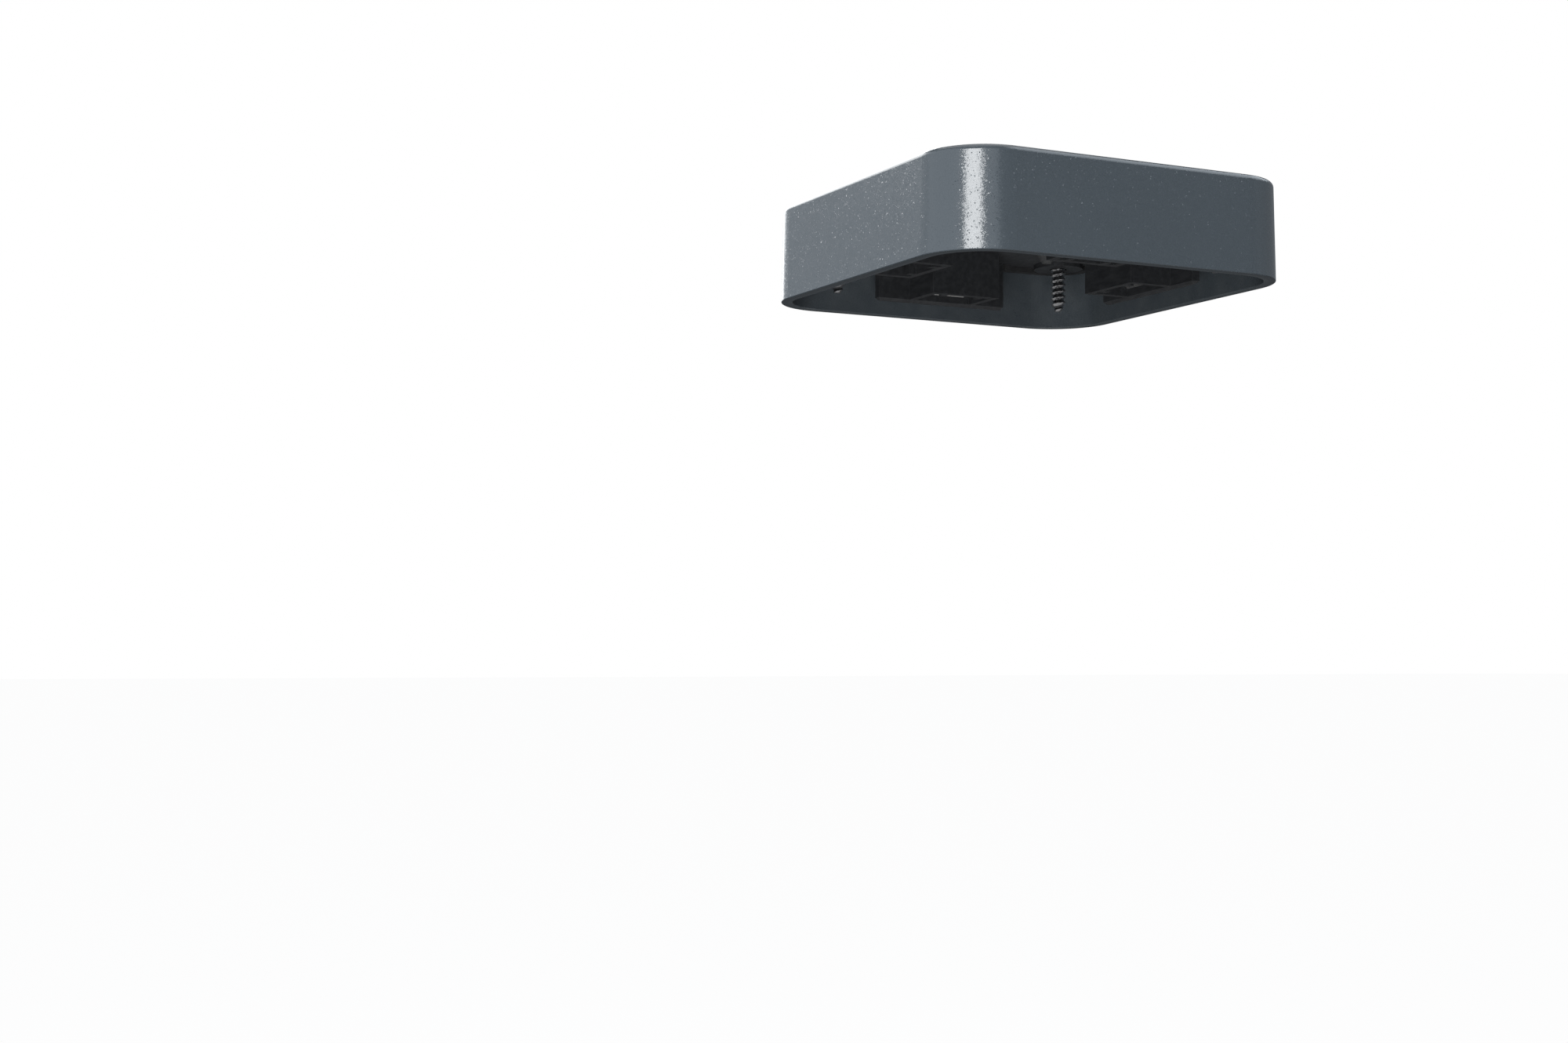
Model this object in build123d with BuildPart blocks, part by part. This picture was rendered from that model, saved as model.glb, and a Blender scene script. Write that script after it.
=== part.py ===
from build123d import *
import os
from itertools import product
from math import cos, radians, sin, tan

# Fence post cap for a 100 mm square post: a die-cast cover that pushes onto a moulded
# adapter plate with four clip carriers, screwed to the end of the post. Millimetres, +Z up.
# The origin is on the axis of the post, in the plane of its cut end.

# Post that the cap fits
POST_WIDTH = 100.0
POST_CORNER = 12.0
POST_WALL = 3.0
PORT_SPACING = 78.0

# Cover, outside
RIM_WIDTH = 112.1
RIM_CORNER = 18.3
SIDE_HEIGHT = 27.4
SEAT_ABOVE_RIM = 16.0
DRAFT = 1.5
CROWN_RISE = 1.4
TOP_EDGE_RADIUS = 1.5

# Cover, inside
SKIRT_WALL = 3.4
TOP_THICKNESS = 3.0
CEILING_RADIUS = 2.0
RIM_BREAK = 0.25
RIB_DEPTH = 2.2
RIB_WIDTH = 2.0
DIAMOND_RADIUS = 25.5

# Tongues of the cover, which the clips grip
TONGUE_INNER = 34.5
TONGUE_THICKNESS = 3.0
TONGUE_WIDTH = 18.0
TONGUE_TIP_Z = -8.0
TONGUE_CHAMFER = 0.8

# Seal and adapter plate
SEAL_THICKNESS = 1.5
SEAL_WIDTH = 2.7
PLATE_THICKNESS = 3.5
PLATE_INSET = 0.3
PLATE_HOLE = 44.0
PLATE_HOLE_CORNER = 8.0
PLATE_EDGE_RADIUS = 0.8
WINDOW_CLEARANCE = 0.1

# Clip carriers: a plug leg with a tower behind it
PLUG_GAP = 0.5
LEG_WIDTH = 44.0
LEG_THICKNESS = 2.5
LEG_TIP_Z = -13.0
LEG_CHAMFER = 0.8
CRUSH_RIB_RADIUS = 0.8
CRUSH_RIB_PITCH = 32.0
TOWER_WALL = 2.0
TOWER_INNER = 30.0
BARB_LENGTH = 7.0
BARB_OVERHANG = 0.7
BARB_HEIGHT = 0.9
BARB_CHAMFER = 0.5
SLOT_WIDTH = 19.0
SLOT_OUTER = 38.0
GUIDE_CLEARANCE = 0.2
GUIDE_WIDTH = 2.0
GUIDE_PITCH = 12.0
SEAT_BLOCK_Z = 0.6

# Leaf clips
CLIP_THICKNESS = 0.5
CLIP_WIDTH = 12.0
CLIP_CLEARANCE = 0.05
CREST_Z = -4.0
CREST_RADIUS = 5.0
UPPER_SLOPE = 35.0
LOWER_SLOPE = 38.0
CURL_Z = 2.4
CURL_RADIUS = 1.0
CURL_EYE_RADIUS = 0.5
CURL_SEAT_CLEARANCE = 0.06
CLIP_CHANNEL = 1.7
CLIP_CHANNEL_LENGTH = 6.0
CLIP_SEAT_WIDTH = 14.0
CLIP_TIP_Z = -10.5

# Screws and washers
SCREW_RADIUS = 2.4
NECK_RADIUS = 2.1
SCREW_TIP_RADIUS = 1.1
SCREW_TIP_LENGTH = 2.4
SCREW_LENGTH = 16.0
SCREW_HEAD_RADIUS = 4.7
SCREW_HEAD_HEIGHT = 3.1
SCREW_HEAD_EDGE = 1.2
SOCKET_RADIUS = 1.6
SOCKET_LOBE_RADIUS = 0.45
SOCKET_DEPTH = 1.8
WASHER_RADIUS = 5.4
WASHER_HOLE_RADIUS = 2.65
WASHER_THICKNESS = 1.0
SCREW_HOLE_RADIUS = 2.65
COUNTERBORE_RADIUS = 6.0
BOSS_RADIUS = 7.5
BOSS_FLOOR_Z = 2.0

# Rubber buffers
BUFFER_OFFSET = 26.0
BUFFER_RADIUS = 4.5
BUFFER_EDGE = 1.0
BUFFER_STEM_RADIUS = 2.4
BUFFER_HOLE_RADIUS = 2.5
BUFFER_BULB_RADIUS = 3.1
BUFFER_BULB_HEIGHT = 2.6
BUFFER_TIP_RADIUS = 1.4

# Heights and radii that follow from the driving dimensions
RIM_Z = -SEAT_ABOVE_RIM
TOP_Z = RIM_Z + SIDE_HEIGHT
CEILING_Z = TOP_Z - TOP_THICKNESS
RIB_Z = CEILING_Z - RIB_DEPTH
CAVITY_WIDTH = RIM_WIDTH - 2 * SKIRT_WALL
CAVITY_CORNER = RIM_CORNER - SKIRT_WALL
CEILING_WIDTH = CAVITY_WIDTH - 2 * (CEILING_Z - RIM_Z) * tan(radians(DRAFT))
PLATE_BOTTOM_Z = SEAL_THICKNESS
PLATE_TOP_Z = PLATE_BOTTOM_Z + PLATE_THICKNESS
PLATE_WIDTH = POST_WIDTH - 2 * PLATE_INSET
PLATE_CORNER = POST_CORNER - PLATE_INSET
PLUG_OUTER = POST_WIDTH / 2 - POST_WALL - PLUG_GAP
LEG_INNER = PLUG_OUTER - LEG_THICKNESS
TONGUE_OUTER = TONGUE_INNER + TONGUE_THICKNESS
GUIDE_FACE = TONGUE_INNER - GUIDE_CLEARANCE
TOWER_WIDTH = SLOT_WIDTH + 2 * TOWER_WALL
WASHER_TOP_Z = BOSS_FLOOR_Z + WASHER_THICKNESS

# Middle line of a leaf clip, as (distance from the post's axis, height): it hangs from
# its curl, slopes in to the crest on the tongue, and slopes away below it.
CREST_CENTRE = (TONGUE_OUTER + CLIP_CLEARANCE + CLIP_THICKNESS / 2 + CREST_RADIUS, CREST_Z)
CREST_TOP = (
    CREST_CENTRE[0] - CREST_RADIUS * cos(radians(UPPER_SLOPE)),
    CREST_CENTRE[1] + CREST_RADIUS * sin(radians(UPPER_SLOPE)),
)
CREST_BOTTOM = (
    CREST_CENTRE[0] - CREST_RADIUS * cos(radians(LOWER_SLOPE)),
    CREST_CENTRE[1] - CREST_RADIUS * sin(radians(LOWER_SLOPE)),
)
CREST_MIDDLE = (CREST_CENTRE[0] - CREST_RADIUS, CREST_CENTRE[1])
CURL_CENTRE = (CREST_TOP[0] + (CURL_Z - CREST_TOP[1]) * tan(radians(UPPER_SLOPE)), CURL_Z)
CLIP_TIP = (
    CREST_BOTTOM[0] + (CREST_BOTTOM[1] - CLIP_TIP_Z) * tan(radians(LOWER_SLOPE)),
    CLIP_TIP_Z,
)

SIDES = {"right": 0, "rear": 90, "left": 180, "front": 270}


def side_plane(angle):
    """Upright plane through the post's axis: local x points out to one side, local y up."""
    turn = radians(angle)
    return Plane(origin=(0, 0, 0), x_dir=(cos(turn), sin(turn), 0), z_dir=(sin(turn), -cos(turn), 0))


def plan_plane(angle, height):
    """Level plane at a height, with local x pointing out to one side."""
    turn = radians(angle)
    return Plane(origin=(0, 0, height), x_dir=(cos(turn), sin(turn), 0), z_dir=(0, 0, 1))


def radial_block(inner, outer, width):
    """Rectangle in a plan sketch, from distance inner to distance outer from the axis."""
    with Locations(((inner + outer) / 2, 0)):
        Rectangle(outer - inner, width)


def edges_at(height, edges):
    """Edges that lie in the level plane at a height."""
    tolerance = 0.01
    return edges.filter_by_position(Axis.Z, height - tolerance, height + tolerance)


# Cover: drafted block with a crowned top, hollowed from below
with BuildPart() as cap_shell:
    with BuildSketch(Plane.XY.offset(RIM_Z)):
        RectangleRounded(RIM_WIDTH, RIM_WIDTH, RIM_CORNER)
    extrude(amount=SIDE_HEIGHT, taper=DRAFT)
    top_face = faces().sort_by(Axis.Z)[-1]
    loft(sections=[top_face, Vertex(0, 0, TOP_Z + CROWN_RISE)], ruled=True)
    fillet(edges_at(TOP_Z, edges()), radius=TOP_EDGE_RADIUS)

    with BuildSketch(Plane.XY.offset(RIM_Z)):
        RectangleRounded(CAVITY_WIDTH, CAVITY_WIDTH, CAVITY_CORNER)
    extrude(amount=CEILING_Z - RIM_Z, taper=DRAFT, mode=Mode.SUBTRACT)
    fillet(edges_at(CEILING_Z, edges()), radius=CEILING_RADIUS)
    fillet(edges_at(RIM_Z, edges()), radius=RIM_BREAK)

    # Cross ribs from wall to wall, and a diamond of ribs that joins the tongues
    with BuildSketch(Plane.XY.offset(RIB_Z)):
        Rectangle(CEILING_WIDTH, RIB_WIDTH)
        Rectangle(RIB_WIDTH, CEILING_WIDTH)
        with PolarLocations(DIAMOND_RADIUS, len(SIDES), start_angle=45):
            Rectangle(RIB_WIDTH, 2 * DIAMOND_RADIUS)
    extrude(amount=RIB_DEPTH)

    # Tongues, one on each side
    with BuildSketch(Plane.XY.offset(TONGUE_TIP_Z)):
        with PolarLocations((TONGUE_INNER + TONGUE_OUTER) / 2, len(SIDES)):
            Rectangle(TONGUE_THICKNESS, TONGUE_WIDTH)
    extrude(amount=CEILING_Z - TONGUE_TIP_Z)
    chamfer(edges_at(TONGUE_TIP_Z, edges()), length=TONGUE_CHAMFER)


# Adapter plate: lies on the end of the post, with a window for each clip carrier
with BuildPart() as adapter_plate:
    with BuildSketch(Plane.XY.offset(PLATE_BOTTOM_Z)):
        RectangleRounded(PLATE_WIDTH, PLATE_WIDTH, PLATE_CORNER)
        RectangleRounded(PLATE_HOLE, PLATE_HOLE, PLATE_HOLE_CORNER, mode=Mode.SUBTRACT)
        with PolarLocations((TOWER_INNER + LEG_INNER) / 2, len(SIDES)):
            Rectangle(
                LEG_INNER - TOWER_INNER + 2 * WINDOW_CLEARANCE,
                TOWER_WIDTH + 2 * WINDOW_CLEARANCE,
                mode=Mode.SUBTRACT,
            )
    extrude(amount=PLATE_THICKNESS)
    rounded = edges_at(PLATE_TOP_Z, edges()).filter_by(GeomType.CIRCLE).sort_by(SortBy.RADIUS)[-1]
    fillet(rounded, radius=PLATE_EDGE_RADIUS)

    # Screw bosses, which stop on the end of the post and limit how far the seal is pressed
    with BuildSketch():
        with GridLocations(PORT_SPACING, PORT_SPACING, 2, 2):
            Circle(BOSS_RADIUS)
    extrude(amount=PLATE_BOTTOM_Z)
    with Locations((0, 0, PLATE_TOP_Z)):
        with GridLocations(PORT_SPACING, PORT_SPACING, 2, 2):
            CounterBoreHole(SCREW_HOLE_RADIUS, COUNTERBORE_RADIUS, PLATE_TOP_Z - BOSS_FLOOR_Z)
        with GridLocations(2 * BUFFER_OFFSET, 2 * BUFFER_OFFSET, 2, 2):
            Hole(BUFFER_HOLE_RADIUS)


def clip_carrier(angle):
    """Moulded carrier on one side: it plugs into the post, guides a tongue and holds a clip."""
    with BuildPart() as carrier:
        with BuildSketch(plan_plane(angle, LEG_TIP_Z)):
            radial_block(LEG_INNER, PLUG_OUTER, LEG_WIDTH)
        extrude(amount=PLATE_BOTTOM_Z - LEG_TIP_Z)
        chamfer(edges_at(LEG_TIP_Z, edges()), length=LEG_CHAMFER)
        with BuildSketch(plan_plane(angle, LEG_TIP_Z + LEG_CHAMFER)):
            radial_block(TOWER_INNER, LEG_INNER, TOWER_WIDTH)
        extrude(amount=PLATE_TOP_Z - LEG_TIP_Z - LEG_CHAMFER)

        # Crush ribs on the leg, which take up the play in the post
        with BuildSketch(plan_plane(angle, LEG_TIP_Z + 2 * LEG_CHAMFER)):
            with Locations((PLUG_OUTER - CRUSH_RIB_RADIUS / 2, 0)):
                with GridLocations(1, CRUSH_RIB_PITCH, 1, 2):
                    Circle(CRUSH_RIB_RADIUS)
        extrude(amount=PLATE_BOTTOM_Z - LEG_TIP_Z - 2 * LEG_CHAMFER)

        # Slot for the tongue, and the deeper pocket behind it for the leaf clip
        with BuildSketch(plan_plane(angle, LEG_TIP_Z)):
            radial_block(TOWER_INNER + TOWER_WALL, SLOT_OUTER, SLOT_WIDTH)
        extrude(amount=PLATE_TOP_Z - LEG_TIP_Z, mode=Mode.SUBTRACT)
        with BuildSketch(plan_plane(angle, LEG_TIP_Z)):
            radial_block(SLOT_OUTER, LEG_INNER, SLOT_WIDTH)
        extrude(amount=SEAT_BLOCK_Z - LEG_TIP_Z, mode=Mode.SUBTRACT)

        # Guide ribs that the tongue runs on
        with BuildSketch(plan_plane(angle, LEG_TIP_Z + LEG_CHAMFER)):
            with Locations(((TOWER_INNER + GUIDE_FACE) / 2, 0)):
                with GridLocations(1, GUIDE_PITCH, 1, 2):
                    Rectangle(GUIDE_FACE - TOWER_INNER, GUIDE_WIDTH)
        extrude(amount=PLATE_TOP_Z - LEG_TIP_Z - LEG_CHAMFER)

        # Barbs that snap over the plate, one on each side wall of the tower
        with BuildSketch(plan_plane(angle, PLATE_TOP_Z)):
            barb_width = TOWER_WALL + BARB_OVERHANG
            with Locations((SLOT_OUTER, 0)):
                with GridLocations(1, SLOT_WIDTH + barb_width, 1, 2):
                    Rectangle(BARB_LENGTH, barb_width)
        extrude(amount=BARB_HEIGHT)
        chamfer(edges_at(PLATE_TOP_Z + BARB_HEIGHT, edges()), length=BARB_CHAMFER)

        # Round seat for the curl of the clip, with a narrower channel that its leaf leaves by
        with BuildSketch(side_plane(angle)):
            with Locations(CURL_CENTRE):
                Circle(CURL_RADIUS + CURL_SEAT_CLEARANCE)
                Rectangle(
                    CLIP_CHANNEL_LENGTH,
                    CLIP_CHANNEL,
                    rotation=-90 - UPPER_SLOPE,
                    align=(Align.MIN, Align.CENTER),
                )
        extrude(amount=CLIP_SEAT_WIDTH / 2, both=True, mode=Mode.SUBTRACT)
    return carrier.part


# Seal: flat rubber ring on the walls of the post
with BuildPart() as end_seal:
    with BuildSketch():
        RectangleRounded(PLATE_WIDTH, PLATE_WIDTH, PLATE_CORNER)
        seal_hole = PLATE_WIDTH - 2 * SEAL_WIDTH
        RectangleRounded(seal_hole, seal_hole, PLATE_CORNER - SEAL_WIDTH, mode=Mode.SUBTRACT)
        with GridLocations(PORT_SPACING, PORT_SPACING, 2, 2):
            Circle(BOSS_RADIUS + PLUG_GAP, mode=Mode.SUBTRACT)
    extrude(amount=SEAL_THICKNESS)


def leaf_clip(angle):
    """Leaf clip on one side: a curled eye at the top and a strip with a crest."""
    with BuildPart() as clip:
        with BuildSketch(side_plane(angle)):
            with BuildLine():
                Line(CURL_CENTRE, CREST_TOP)
                ThreePointArc(CREST_TOP, CREST_MIDDLE, CREST_BOTTOM)
                Line(CREST_BOTTOM, CLIP_TIP)
            trace(line_width=CLIP_THICKNESS)
            with Locations(CURL_CENTRE):
                Circle(CURL_RADIUS)
                Circle(CURL_EYE_RADIUS, mode=Mode.SUBTRACT)
        extrude(amount=CLIP_WIDTH / 2, both=True)
    return clip.part


# Screws: pan heads with a six-lobed socket, a plain neck through the plate, and below it
# a shank at the thread's outer size
with BuildPart() as fixing_screws:
    with BuildSketch(Plane.XY.offset(WASHER_TOP_Z)):
        with GridLocations(PORT_SPACING, PORT_SPACING, 2, 2):
            Circle(SCREW_HEAD_RADIUS)
    extrude(amount=SCREW_HEAD_HEIGHT)
    fillet(edges_at(WASHER_TOP_Z + SCREW_HEAD_HEIGHT, edges()), radius=SCREW_HEAD_EDGE)
    with BuildSketch(Plane.XY.offset(WASHER_TOP_Z + SCREW_HEAD_HEIGHT)):
        with GridLocations(PORT_SPACING, PORT_SPACING, 2, 2):
            Circle(SOCKET_RADIUS)
            with PolarLocations(SOCKET_RADIUS, 6):
                Circle(SOCKET_LOBE_RADIUS)
    extrude(amount=-SOCKET_DEPTH, mode=Mode.SUBTRACT)
    with BuildSketch(Plane.XY.offset(WASHER_TOP_Z)):
        with GridLocations(PORT_SPACING, PORT_SPACING, 2, 2):
            Circle(NECK_RADIUS)
    extrude(amount=-WASHER_TOP_Z)
    with BuildSketch():
        with GridLocations(PORT_SPACING, PORT_SPACING, 2, 2):
            Circle(SCREW_RADIUS)
    extrude(amount=WASHER_TOP_Z - SCREW_LENGTH)
    tip_edges = edges_at(WASHER_TOP_Z - SCREW_LENGTH, edges())
    chamfer(tip_edges, length=SCREW_TIP_LENGTH, length2=SCREW_RADIUS - SCREW_TIP_RADIUS)


# Washers under the screw heads
with BuildPart() as screw_washers:
    with BuildSketch(Plane.XY.offset(BOSS_FLOOR_Z)):
        with GridLocations(PORT_SPACING, PORT_SPACING, 2, 2):
            Circle(WASHER_RADIUS)
            Circle(WASHER_HOLE_RADIUS, mode=Mode.SUBTRACT)
    extrude(amount=WASHER_THICKNESS)


def rubber_buffer(x, y):
    """Push-in buffer: head under the cover, stem through the plate, tapered bulb below."""
    with BuildPart() as rubber:
        with BuildSketch(Plane.XY.offset(PLATE_TOP_Z)):
            with Locations((x, y)):
                Circle(BUFFER_RADIUS)
        extrude(amount=CEILING_Z - PLATE_TOP_Z)
        fillet(edges_at(CEILING_Z, edges()), radius=BUFFER_EDGE)
        with BuildSketch(Plane.XY.offset(PLATE_BOTTOM_Z)):
            with Locations((x, y)):
                Circle(BUFFER_STEM_RADIUS)
        extrude(amount=PLATE_THICKNESS)
        with BuildSketch(Plane.XY.offset(PLATE_BOTTOM_Z)):
            with Locations((x, y)):
                Circle(BUFFER_BULB_RADIUS)
        with BuildSketch(Plane.XY.offset(PLATE_BOTTOM_Z - BUFFER_BULB_HEIGHT)):
            with Locations((x, y)):
                Circle(BUFFER_TIP_RADIUS)
        loft()
    return rubber.part


pieces = {
    "cap_shell": cap_shell.part,
    "adapter_plate": adapter_plate.part,
    "end_seal": end_seal.part,
    "fixing_screws": fixing_screws.part,
    "screw_washers": screw_washers.part,
}
for side, angle in SIDES.items():
    pieces[f"{side}_carrier"] = clip_carrier(angle)
    pieces[f"{side}_clip"] = leaf_clip(angle)
for number, (x, y) in enumerate(product((-BUFFER_OFFSET, BUFFER_OFFSET), repeat=2), start=1):
    pieces[f"buffer_{number}"] = rubber_buffer(x, y)

os.makedirs("parts", exist_ok=True)
for name, piece in pieces.items():
    piece.label = name
    export_step(piece, f"parts/{name}.step")
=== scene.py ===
import math

import bpy
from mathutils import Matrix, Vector


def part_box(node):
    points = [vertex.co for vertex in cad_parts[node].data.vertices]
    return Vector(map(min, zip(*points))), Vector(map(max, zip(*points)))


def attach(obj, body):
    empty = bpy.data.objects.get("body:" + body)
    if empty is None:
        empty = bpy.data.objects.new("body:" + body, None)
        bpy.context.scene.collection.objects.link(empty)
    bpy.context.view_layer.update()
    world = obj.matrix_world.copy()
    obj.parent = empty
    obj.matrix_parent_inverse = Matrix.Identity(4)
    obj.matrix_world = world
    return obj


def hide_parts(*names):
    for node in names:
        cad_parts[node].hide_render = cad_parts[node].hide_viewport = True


# Fence post cap: a powder-coated cover on a black adapter plate with four clip carriers,
# leaf clips, screws, a seal and buffers. Metres, +Z up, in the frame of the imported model.

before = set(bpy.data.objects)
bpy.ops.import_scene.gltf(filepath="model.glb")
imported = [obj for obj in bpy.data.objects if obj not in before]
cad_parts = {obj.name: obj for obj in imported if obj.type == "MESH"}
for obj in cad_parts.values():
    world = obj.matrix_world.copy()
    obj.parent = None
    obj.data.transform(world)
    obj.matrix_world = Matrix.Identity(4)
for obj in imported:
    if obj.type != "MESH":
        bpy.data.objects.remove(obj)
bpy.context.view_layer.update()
MM = 0.001

# Camera: level, below the rim and in front of the near corner
CAMERA_TURN = 26.95
CAMERA_AHEAD = 0.63548
CAMERA_ASIDE = 0.06822
CAMERA_BELOW_RIM = 0.10515
LENS = 50.77
SENSOR = 36.0
SHIFT_UP = 0.088

# The floor is a fence post's height below the cap
FLOOR_DROP = 1.8
FLOOR_SIZE = 400.0

# A panel whose middle is steeper than this is straight above or below the cap
STEEPEST = math.radians(80)

# Light colours, and how strongly the dim room and the floor shine
WHITE = (1.0, 1.0, 1.0)
COOL = (0.92, 1.0, 1.08)
KEY_WHITE = (0.985, 1.0, 1.01)
LOW_WHITE = (0.97, 1.0, 1.02)
DIM_ROOM = (0.93, 0.96, 1.0)
DIM_ROOM_STRENGTH = 0.06
FLOOR_GLOW = 0.93

# Cover: the corner radius at its rim, and the part of its inside that has a dry coat
CAP_CORNER = 18.3 * MM
DRY_FROM_SIDE = (1.9 * MM, 2.2 * MM)
DRY_FROM_TOP = (3.6 * MM, 4.0 * MM)

# Powder coat: the scales of its textures, per metre
GRAINS = 2600.0
CELLS = 3700.0
ORANGE_PEEL = 520.0

# Powder coat: cells whose random value is past FLAKE_FROM are flakes, and lean further.
# EDGE_CALM is the part of the lean that is left on rounded edges.
FLAKE_FROM = 0.81
FLAKE_LEAN = (0.06, 0.365)
EDGE_CALM = 0.15

# Powder coat: depths of its relief, roughness and colours
ORANGE_PEEL_DEPTH = 0.012 * MM
GRAIN_DEPTH = 0.014 * MM
COAT_ROUGHNESS = (0.175, 0.21)
DRY_ROUGHNESS = 0.34
COAT_DARK = (0.0415, 0.0497, 0.0572)
COAT_MIDDLE = (0.0460, 0.0550, 0.0632)
COAT_LIGHT = (0.0490, 0.0585, 0.0672)
COAT_THIN = (0.115, 0.125, 0.135)
COAT_DRY = (0.070, 0.078, 0.084)

# Fixing screws: the CAD's dimensions, with small broken edges and a real thread
SCREW_SEGMENTS = 72
SCREW_HEAD = 4.7 * MM
SCREW_HEAD_HEIGHT = 3.1 * MM
SCREW_HEAD_EDGE = 1.2 * MM
SCREW_SOCKET = 1.6 * MM
SCREW_LOBE = 0.45 * MM
SOCKET_LOBES = 6
SCREW_SOCKET_DEPTH = 1.8 * MM
SCREW_NECK = 2.1 * MM
SCREW_CREST = 2.4 * MM
SCREW_ROOT = 1.75 * MM
SCREW_PITCH = 1.8 * MM
SCREW_TIP = 1.1 * MM
SCREW_TIP_LENGTH = 2.4 * MM
SCREW_SOCKET_CONE = 0.25 * MM
SCREW_SOCKET_BREAK = 0.12 * MM
SCREW_SOCKET_FOOT = 0.1 * MM
SCREW_HEAD_BREAK = 0.2 * MM
SCREW_NECK_FILLET = 0.3 * MM

# The core at the tip, as a part of SCREW_ROOT, and half the ridge, as a part of the pitch
SCREW_TIP_CORE = 0.55
THREAD_HALF_WIDTH = 0.32
THREAD_ROWS_PER_PITCH = 12

# Degrees: steps round the head's edge, turns of the four screws, and what counts as sharp
HEAD_BEND_STEP = 10
SCREW_FIRST_TURN = 17
SCREW_TURN_STEP = 41
SHARP_ANGLE = 38


# ---------------------------------------------------------------- material helpers


class Look:
    """A Principled material whose inputs are built from small node calls."""

    def __init__(self, name):
        self.material = bpy.data.materials.new(name)
        self.material.use_nodes = True
        self.tree = self.material.node_tree
        self.shader = self.tree.nodes["Principled BSDF"]
        self.place = self.tree.nodes.new("ShaderNodeTexCoord").outputs["Object"]

    def node(self, kind, inputs=(), **settings):
        made = self.tree.nodes.new(kind)
        for key, value in settings.items():
            setattr(made, key, value)
        for key, value in dict(inputs).items():
            self.feed(made.inputs[key], value)
        return made

    def feed(self, socket, value):
        if isinstance(value, bpy.types.NodeSocket):
            self.tree.links.new(value, socket)
        elif hasattr(socket.default_value, "__len__") and not hasattr(value, "__len__"):
            socket.default_value = [value] * len(socket.default_value)
        elif hasattr(value, "__len__") and len(socket.default_value) == 4 and len(value) == 3:
            socket.default_value = (*value, 1.0)
        else:
            socket.default_value = value

    def set(self, **values):
        """Sets or links shader inputs, named with underscores for spaces."""
        for key, value in values.items():
            self.feed(self.shader.inputs[key.replace("_", " ")], value)

    def noise(self, per_metre, detail=2.0, rough=0.5, place=None):
        inputs = {
            "Vector": place or self.place,
            "Scale": per_metre,
            "Detail": detail,
            "Roughness": rough,
        }
        return self.node("ShaderNodeTexNoise", inputs).outputs["Fac"]

    def cells(self, per_metre):
        """A random colour for each cell."""
        inputs = {"Vector": self.place, "Scale": per_metre}
        return self.node("ShaderNodeTexVoronoi", inputs, feature="F1").outputs["Color"]

    def math(self, operation, a, b=0.0):
        return self.node("ShaderNodeMath", {0: a, 1: b}, operation=operation).outputs[0]

    def vector_math(self, operation, inputs, output=0):
        return self.node("ShaderNodeVectorMath", inputs, operation=operation).outputs[output]

    def span(self, value, low, high, to_low=0.0, to_high=1.0):
        """Maps low..high to to_low..to_high, with the ends clamped."""
        inputs = {
            "Value": value,
            "From Min": low,
            "From Max": high,
            "To Min": to_low,
            "To Max": to_high,
        }
        return self.node("ShaderNodeMapRange", inputs).outputs["Result"]

    def blend(self, factor, a, b):
        made = self.node("ShaderNodeMix", data_type="RGBA")
        self.feed(made.inputs[0], factor)
        self.feed(made.inputs[6], a)
        self.feed(made.inputs[7], b)
        return made.outputs[2]

    def parts(self, vector):
        return self.node("ShaderNodeSeparateXYZ", {0: vector}).outputs

    def stretch(self, x, y, z):
        """Coordinates scaled on each axis, for grain that runs one way."""
        return self.vector_math("MULTIPLY", {0: self.place, 1: (x, y, z)})

    def true_normal(self):
        return self.node("ShaderNodeNewGeometry").outputs["Normal"]

    def bump(self, height, distance, strength=1.0, normal=None):
        inputs = {"Height": height, "Distance": distance, "Strength": strength}
        if normal is not None:
            inputs["Normal"] = normal
        return self.node("ShaderNodeBump", inputs).outputs["Normal"]

    def tilt(self, normal, seed, amount):
        """The normal, leaned over by a random amount that is the same all over a cell."""
        random = self.node("ShaderNodeTexWhiteNoise", {"Vector": seed}, noise_dimensions="3D")
        lean = self.vector_math("SUBTRACT", {0: random.outputs["Color"], 1: (0.5, 0.5, 0.5)})
        lean = self.vector_math("SCALE", {0: lean, "Scale": amount})
        return self.vector_math("NORMALIZE", {0: self.vector_math("ADD", {0: normal, 1: lean})})

    def edges(self, radius):
        """1 on edges sharper than the radius, 0 on flat ground."""
        soft = self.node("ShaderNodeBevel", {"Radius": radius}, samples=6).outputs["Normal"]
        likeness = self.vector_math("DOT_PRODUCT", {0: soft, 1: self.true_normal()}, "Value")
        return self.span(likeness, 0.995, 0.9)


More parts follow.
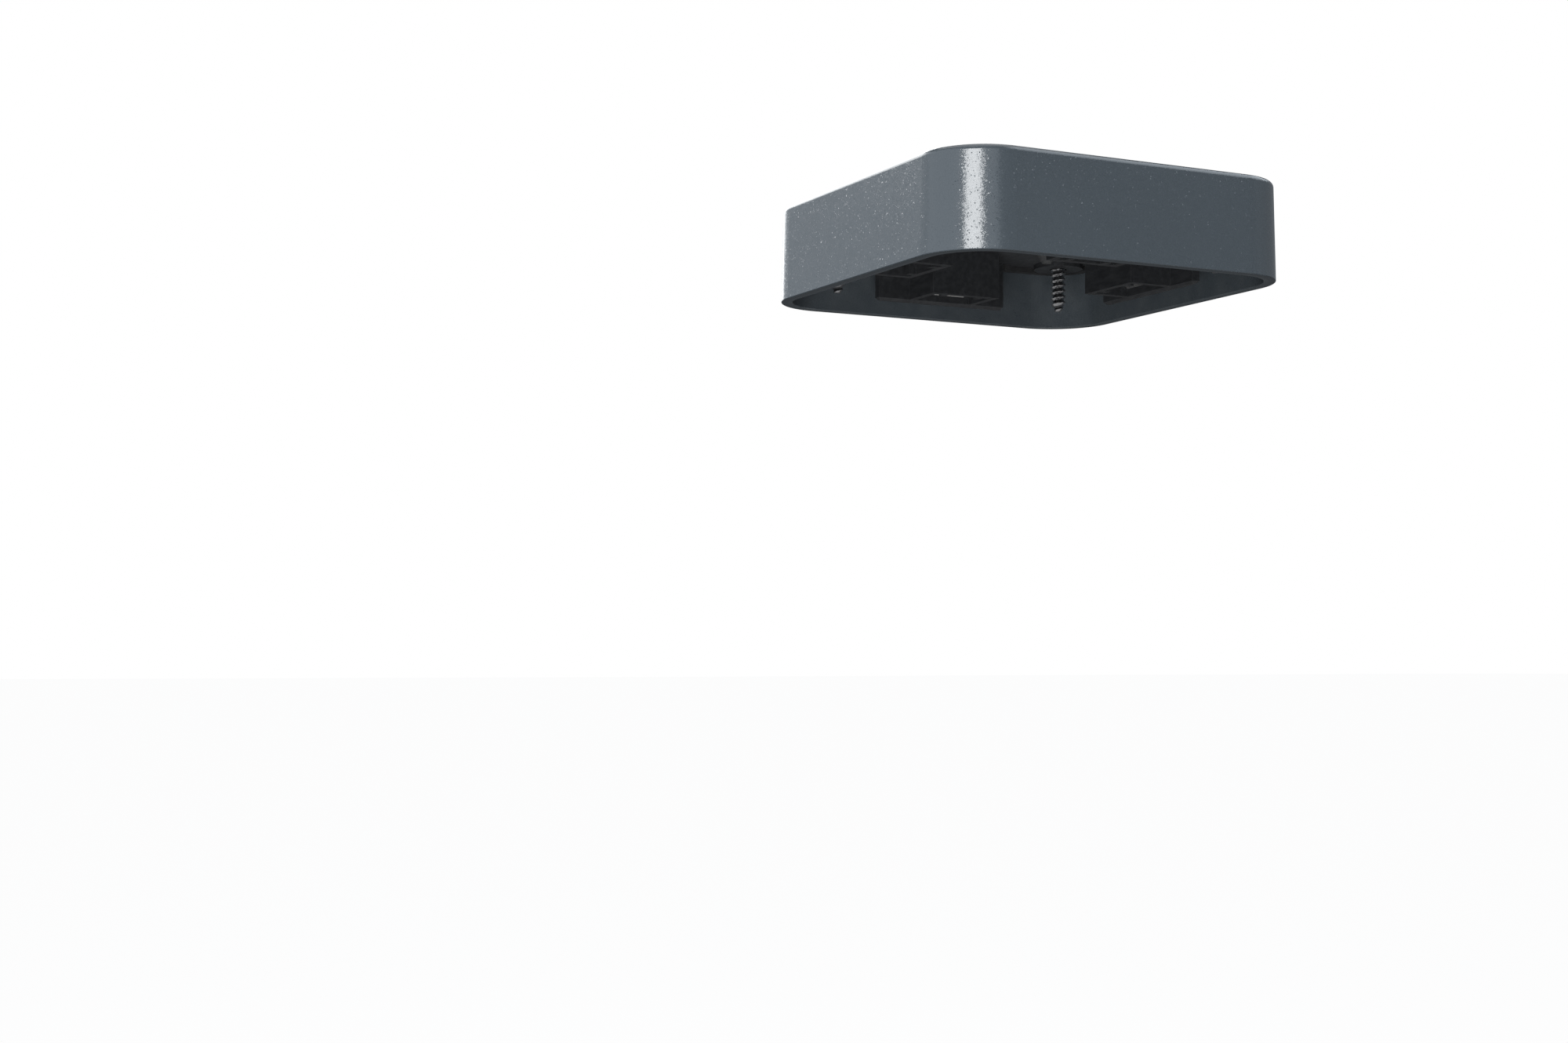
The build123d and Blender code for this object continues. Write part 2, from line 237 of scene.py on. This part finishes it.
def powder_coat():
    """Anthracite powder coat: satin, with orange peel, fine grain and leaning flakes."""
    look = Look("anthracite_powder_coat")
    cloud = look.noise(45.0, detail=3.0)
    grain = look.noise(GRAINS, detail=2.0, rough=0.6)
    base = look.blend(cloud, COAT_DARK, COAT_MIDDLE)
    base = look.blend(look.span(grain, 0.4, 0.75), base, COAT_LIGHT)

    # Powder grains lie at slightly different angles, and the flakes among them lean further
    cell = look.cells(CELLS)
    lean = look.span(look.parts(cell)[0], FLAKE_FROM, 1.0, *FLAKE_LEAN)

    # Powder draws thin and smooth over the rounded edges
    facing_up = look.math("ABSOLUTE", look.parts(look.true_normal())[2])
    upright = look.span(facing_up, 0.06, 0.16, 1.0, EDGE_CALM)
    level = look.span(facing_up, 0.97, 0.99, EDGE_CALM, 1.0)
    lean = look.math("MULTIPLY", lean, look.math("MAXIMUM", upright, level))

    # Thin coat on the sharpest edges
    patchy = look.span(look.noise(900.0), 0.45, 0.75)
    edge = look.math("MULTIPLY", look.edges(0.35 * MM), patchy)
    base = look.blend(look.math("MULTIPLY", edge, 0.35), base, COAT_THIN)

    # Inside the skirt the coat is a thin, dry overspray
    dry = dry_overspray(look)
    base = look.blend(dry, base, COAT_DRY)

    rough = look.span(look.noise(300.0, detail=3.0), 0.3, 0.7, *COAT_ROUGHNESS)
    rough = look.math("ADD", rough, look.math("MULTIPLY", dry, DRY_ROUGHNESS))
    peel = look.bump(look.noise(ORANGE_PEEL, detail=1.0, rough=0.4), ORANGE_PEEL_DEPTH)
    fine = look.bump(grain, GRAIN_DEPTH, normal=peel)
    look.set(Base_Color=base, Roughness=rough, Normal=look.tilt(fine, cell, lean), IOR=1.5)
    return look.material


def dry_overspray(look):
    """Patches inside the cover: within the rounded square of its skirt, and under its top."""
    x, y, z = look.parts(look.place)[:3]
    _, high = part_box("cap_shell")
    corner_middle = high.x - CAP_CORNER
    squares = []
    for value in (x, y):
        past = look.math("SUBTRACT", look.math("ABSOLUTE", value), corner_middle)
        squares.append(look.math("POWER", look.math("MAXIMUM", past, 0.0), 2.0))
    reach = look.math("SQRT", look.math("ADD", *squares))
    within = look.span(reach, *(CAP_CORNER - depth for depth in DRY_FROM_SIDE))
    under = look.span(z, *(high.z - depth for depth in DRY_FROM_TOP))
    patches = look.span(look.noise(160.0, detail=4.0), 0.35, 0.75, 0.25, 0.8)
    return look.math("MULTIPLY", look.math("MULTIPLY", within, under), patches)


def moulded_plastic():
    """Black glass-filled polyamide with a fine erosion texture and faint fibre marks."""
    look = Look("black_glass_filled_polyamide")
    fibre = look.noise(700.0, detail=4.0, rough=0.7, place=look.stretch(1.0, 0.25, 1.0))
    base = look.blend(look.span(fibre, 0.4, 0.75), (0.017, 0.0175, 0.019), (0.034, 0.035, 0.037))
    edge = look.math("MULTIPLY", look.edges(0.3 * MM), look.noise(600.0))
    base = look.blend(look.math("MULTIPLY", edge, 0.5), base, (0.075, 0.077, 0.08))
    rough = look.span(look.noise(220.0, detail=3.0), 0.3, 0.7, 0.46, 0.62)
    spark = look.bump(look.noise(2400.0, detail=3.0, rough=0.65), 0.02 * MM, 0.8)
    look.set(Base_Color=base, Roughness=rough, Normal=spark, IOR=1.53)
    return look.material


def rubber(name, tint):
    """Matt rubber with talc in the grain."""
    look = Look(name)
    grain = look.noise(1500.0, detail=4.0, rough=0.65)
    talc = look.span(look.noise(130.0, detail=5.0), 0.5, 0.8, 0.0, 0.5)
    base = look.blend(look.span(grain, 0.35, 0.7), (tint, tint, tint * 1.04), (tint * 1.7,) * 3)
    base = look.blend(talc, base, (0.085, 0.084, 0.082))
    rough = look.span(grain, 0.3, 0.7, 0.68, 0.86)
    look.set(Base_Color=base, Roughness=rough, Normal=look.bump(grain, 0.03 * MM, 0.9))
    return look.material


def rolled_steel():
    """Stainless spring strip: fine rolling lines along the leaf, and a patchy temper tint."""
    look = Look("stainless_spring_strip")

    # Each clip lies across one axis, and its lines vary only along the other
    x, y, z = look.parts(look.place)[:3]
    faces_y = look.math("LESS_THAN", look.math("ABSOLUTE", x), look.math("ABSOLUTE", y))
    across = look.math("ADD", y, look.math("MULTIPLY", faces_y, look.math("SUBTRACT", x, y)))
    along = look.math("MULTIPLY", z, 0.03)
    rolled = look.node("ShaderNodeCombineXYZ", {0: across, 1: along}).outputs[0]
    lines = look.noise(5600.0, detail=3.0, rough=0.7, place=rolled)

    tint = look.noise(90.0, detail=3.0)
    base = look.blend(look.span(lines, 0.3, 0.7), (0.47, 0.465, 0.455), (0.60, 0.595, 0.585))
    base = look.blend(look.span(tint, 0.55, 0.8, 0.0, 0.5), base, (0.52, 0.46, 0.37))
    edge = look.edges(0.12 * MM)
    base = look.blend(look.math("MULTIPLY", edge, 0.6), base, (0.78, 0.78, 0.77))
    rough = look.span(lines, 0.3, 0.7, 0.22, 0.36)
    relief = look.bump(lines, 0.004 * MM, 0.7)
    look.set(Base_Color=base, Roughness=rough, Metallic=1.0, Normal=relief)
    return look.material


def turned_steel():
    """Stainless steel of the screws and washers: fine turning marks and light scuffs."""
    look = Look("turned_stainless_steel")
    marks = look.noise(5200.0, detail=2.0, rough=0.6, place=look.stretch(0.15, 0.15, 1.0))
    scuff = look.noise(480.0, detail=5.0, rough=0.7)
    base = look.blend(look.span(scuff, 0.45, 0.75), (0.60, 0.60, 0.61), (0.42, 0.42, 0.425))
    base = look.blend(look.math("MULTIPLY", look.edges(0.2 * MM), 0.6), base, (0.80, 0.80, 0.80))
    rough = look.span(scuff, 0.3, 0.75, 0.2, 0.42)
    relief = look.bump(marks, 0.006 * MM, 0.7)
    look.set(Base_Color=base, Roughness=rough, Metallic=1.0, Normal=relief)
    return look.material


def pale_floor():
    """Pale floor, lit from within so that it stays even out to the horizon."""
    look = Look("pale_floor")
    base = look.blend(look.noise(3.0, detail=3.0), (0.79, 0.79, 0.785), (0.82, 0.82, 0.815))
    look.set(Base_Color=base, Roughness=look.span(look.noise(20.0), 0.3, 0.7, 0.8, 0.9))
    look.set(Emission_Color=WHITE, Emission_Strength=FLOOR_GLOW, Specular_IOR_Level=0.0)
    return look.material


# ---------------------------------------------------------------- object


def dress(nodes, material):
    for node in nodes:
        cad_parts[node].data.materials.clear()
        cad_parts[node].data.materials.append(material)


def socket_radius(turn):
    """Edge of the six-lobed socket: a circle with six small round lobes on it."""
    half_step = math.pi / SOCKET_LOBES
    off = (turn + half_step) % (2 * half_step) - half_step
    reach = SCREW_LOBE**2 - (SCREW_SOCKET * math.sin(off)) ** 2
    if reach <= 0:
        return SCREW_SOCKET
    return max(SCREW_SOCKET, SCREW_SOCKET * math.cos(off) + math.sqrt(reach))


def thread_ring(turns, z, low):
    """One ring of the threaded shank: a helical crest on a round core, tapered at the tip."""
    taper = min(1.0, (z - low) / SCREW_TIP_LENGTH)
    crest = SCREW_TIP + (SCREW_CREST - SCREW_TIP) * taper
    core = SCREW_ROOT * (SCREW_TIP_CORE + (1 - SCREW_TIP_CORE) * taper)
    ring = []
    for turn in turns:
        phase = (z / SCREW_PITCH - turn / (2 * math.pi)) % 1.0
        ridge = max(0.0, 1.0 - abs(phase - 0.5) / THREAD_HALF_WIDTH)
        radius = core + (crest - core) * ridge
        ring.append((radius * math.cos(turn), radius * math.sin(turn), z))
    return ring


def screw_rings(low, top):
    """Rings of one screw: from the socket's middle, round the head and down to the tip."""
    turns = [2 * math.pi * i / SCREW_SEGMENTS for i in range(SCREW_SEGMENTS)]
    floor = top - SCREW_SOCKET_DEPTH
    seat = top - SCREW_HEAD_HEIGHT

    def ring(radius_at, z):
        return [(radius_at(t) * math.cos(t), radius_at(t) * math.sin(t), z) for t in turns]

    def circle(radius, z):
        return ring(lambda turn: radius, z)

    def socket(grow, z):
        return ring(lambda turn: socket_radius(turn) + grow, z)

    rings = [
        circle(0.5 * SCREW_SOCKET, floor - SCREW_SOCKET_CONE),
        socket(-SCREW_SOCKET_BREAK, floor),
        socket(0.0, floor + SCREW_SOCKET_FOOT),
        socket(0.0, top - SCREW_SOCKET_BREAK),
        socket(SCREW_SOCKET_BREAK, top),
    ]
    flat = SCREW_HEAD - SCREW_HEAD_EDGE
    for angle in range(0, 91, HEAD_BEND_STEP):
        out = SCREW_HEAD_EDGE * math.sin(math.radians(angle))
        down = SCREW_HEAD_EDGE * (1 - math.cos(math.radians(angle)))
        rings.append(circle(flat + out, top - down))
    rings += [
        circle(SCREW_HEAD, seat + SCREW_HEAD_BREAK),
        circle(SCREW_HEAD - SCREW_HEAD_BREAK, seat),
        circle(SCREW_NECK + SCREW_NECK_FILLET, seat),
        circle(SCREW_NECK, seat - SCREW_NECK_FILLET),
        circle(SCREW_NECK, 0.0),
    ]
    rows = int(-low / (SCREW_PITCH / THREAD_ROWS_PER_PITCH))
    rings += [thread_ring(turns, low * row / rows, low) for row in range(1, rows + 1)]
    return rings


def add_screws(material):
    """The four screws as one piece, each one turned to its own angle."""
    low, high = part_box("fixing_screws")
    rings = screw_rings(low.z, high.z)
    corners, faces = [], []
    for number, (side_x, side_y) in enumerate(((1, 1), (-1, 1), (-1, -1), (1, -1))):
        turned = math.radians(SCREW_FIRST_TURN + SCREW_TURN_STEP * number)
        cos, sin = math.cos(turned), math.sin(turned)
        centre_x = side_x * (high.x - SCREW_HEAD)
        centre_y = side_y * (high.y - SCREW_HEAD)
        first = len(corners)
        for ring in rings:
            for x, y, z in ring:
                corners.append((centre_x + x * cos - y * sin, centre_y + x * sin + y * cos, z))
        for row in range(len(rings) - 1):
            for i in range(SCREW_SEGMENTS):
                a = first + row * SCREW_SEGMENTS + i
                b = first + row * SCREW_SEGMENTS + (i + 1) % SCREW_SEGMENTS
                faces.append((a, a + SCREW_SEGMENTS, b + SCREW_SEGMENTS, b))
        last = len(corners) - SCREW_SEGMENTS
        faces.append(tuple(range(first, first + SCREW_SEGMENTS)))
        faces.append(tuple(reversed(range(last, last + SCREW_SEGMENTS))))
    mesh = bpy.data.meshes.new("threaded_screws")
    mesh.from_pydata(corners, [], faces)
    mesh.shade_smooth()
    mesh.set_sharp_from_angle(angle=math.radians(SHARP_ANGLE))
    mesh.materials.append(material)
    screws = bpy.data.objects.new("threaded_screws", mesh)
    bpy.context.scene.collection.objects.link(screws)
    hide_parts("fixing_screws")
    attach(screws, "adapter")


SIDES = ("right", "rear", "left", "front")
CARRIERS = [f"{side}_carrier" for side in SIDES]
CLIPS = [f"{side}_clip" for side in SIDES]
BUFFERS = [f"buffer_{number}" for number in range(1, 5)]

dress(["cap_shell"], powder_coat())
dress(["adapter_plate", *CARRIERS], moulded_plastic())
dress(["end_seal"], rubber("seal_rubber", 0.016))
dress(BUFFERS, rubber("buffer_rubber", 0.030))
dress(CLIPS, rolled_steel())
steel = turned_steel()
dress(["screw_washers"], steel)
add_screws(steel)


# ---------------------------------------------------------------- floor, lights, camera


def add_floor():
    low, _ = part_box("cap_shell")
    bpy.ops.mesh.primitive_plane_add(size=FLOOR_SIZE, location=(0, 0, low.z - FLOOR_DROP))
    floor = bpy.context.object
    floor.name = "floor"
    floor.data.materials.append(pale_floor())
    floor.visible_diffuse = False
    floor.visible_glossy = False


def add_panel(name, azimuths, elevations, distance, radiance, tint=WHITE, reflected=True):
    """Soft light panel that faces the cap and fills a span of directions, seen from the cap.

    Azimuth is from +X towards +Y. All angles are in degrees. A panel straight above or
    below the cap has its azimuths as its second span of elevations.
    """
    turn = math.radians(sum(azimuths) / 2)
    tilt = math.radians(sum(elevations) / 2)
    width = 2 * distance * math.tan(math.radians(azimuths[1] - azimuths[0]) / 2)
    if abs(tilt) < STEEPEST:
        width *= math.cos(tilt)
    height = 2 * distance * math.tan(math.radians(elevations[1] - elevations[0]) / 2)
    data = bpy.data.lights.new(name, "AREA")
    data.shape = "RECTANGLE"
    data.size = width
    data.size_y = height
    data.color = tint
    data.energy = radiance * math.pi * width * height
    panel = bpy.data.objects.new(name, data)
    level = math.cos(tilt)
    away = Vector((math.cos(turn) * level, math.sin(turn) * level, math.sin(tilt)))
    panel.location = away * distance
    panel.rotation_euler = (-away).to_track_quat("-Z", "Y").to_euler()
    panel.visible_camera = False
    panel.visible_glossy = reflected
    bpy.context.scene.collection.objects.link(panel)


def add_world():
    """White to the camera, dim to everything else, so that the panels model the shape."""
    world = bpy.data.worlds.new("studio")
    bpy.context.scene.world = world
    world.use_nodes = True
    tree = world.node_tree
    tree.nodes.clear()
    seen = tree.nodes.new("ShaderNodeLightPath").outputs["Is Camera Ray"]
    white = tree.nodes.new("ShaderNodeBackground")
    white.inputs["Color"].default_value = (*WHITE, 1)
    dim = tree.nodes.new("ShaderNodeBackground")
    dim.inputs["Color"].default_value = (*DIM_ROOM, 1)
    dim.inputs["Strength"].default_value = DIM_ROOM_STRENGTH
    choose = tree.nodes.new("ShaderNodeMixShader")
    tree.links.new(seen, choose.inputs[0])
    tree.links.new(dim.outputs[0], choose.inputs[1])
    tree.links.new(white.outputs[0], choose.inputs[2])
    out = tree.nodes.new("ShaderNodeOutputWorld")
    tree.links.new(choose.outputs[0], out.inputs["Surface"])


def add_camera():
    turn = math.radians(CAMERA_TURN)
    ahead = Vector((math.sin(turn), math.cos(turn), 0))
    right = Vector((math.cos(turn), -math.sin(turn), 0))
    low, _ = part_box("cap_shell")
    data = bpy.data.cameras.new("camera")
    data.lens = LENS
    data.sensor_width = SENSOR
    data.shift_y = SHIFT_UP
    data.clip_start = 0.01
    data.clip_end = 2 * FLOOR_SIZE
    camera = bpy.data.objects.new("camera", data)
    over = Vector((0, 0, low.z - CAMERA_BELOW_RIM))
    camera.location = over - ahead * CAMERA_AHEAD - right * CAMERA_ASIDE
    camera.rotation_euler = (math.radians(90), 0, -turn)
    bpy.context.scene.collection.objects.link(camera)
    bpy.context.scene.camera = camera


add_floor()
add_panel("key_softbox", (-146.1, -117.8), (4, 26), 1.6, 16.0, KEY_WHITE)
add_panel("low_front_fill", (-162, -102), (-55, -15), 1.6, 4.2, LOW_WHITE, False)
add_panel("front_fill", (-112, -90), (0, 28), 1.8, 1.2, COOL)
add_panel("side_wall", (140, 208), (0, 40), 2.0, 1.3, COOL)
add_panel("rear_left_wall", (95, 140), (0, 40), 2.0, 0.88, COOL)
add_panel("rear_wall", (50, 95), (2, 40), 2.0, 0.85, COOL)
add_panel("edge_strip", (77, 98), (1, 20), 1.8, 2.5)
add_panel("edge_bank", (66, 125), (18.8, 37), 1.8, 4.4)
add_panel("right_bank", (-62, 20), (27, 56), 1.8, 2.8, COOL)
add_panel("right_wall", (-38, 50), (-6, 28), 2.0, 0.2, COOL)
add_panel("overhead", (-34, 34), (56, 124), 1.7, 1.3)
add_panel("floor_bounce", (-42, 42), (-132, -48), 1.5, 0.3)
add_world()
add_camera()
bpy.context.scene.view_settings.view_transform = "Standard"
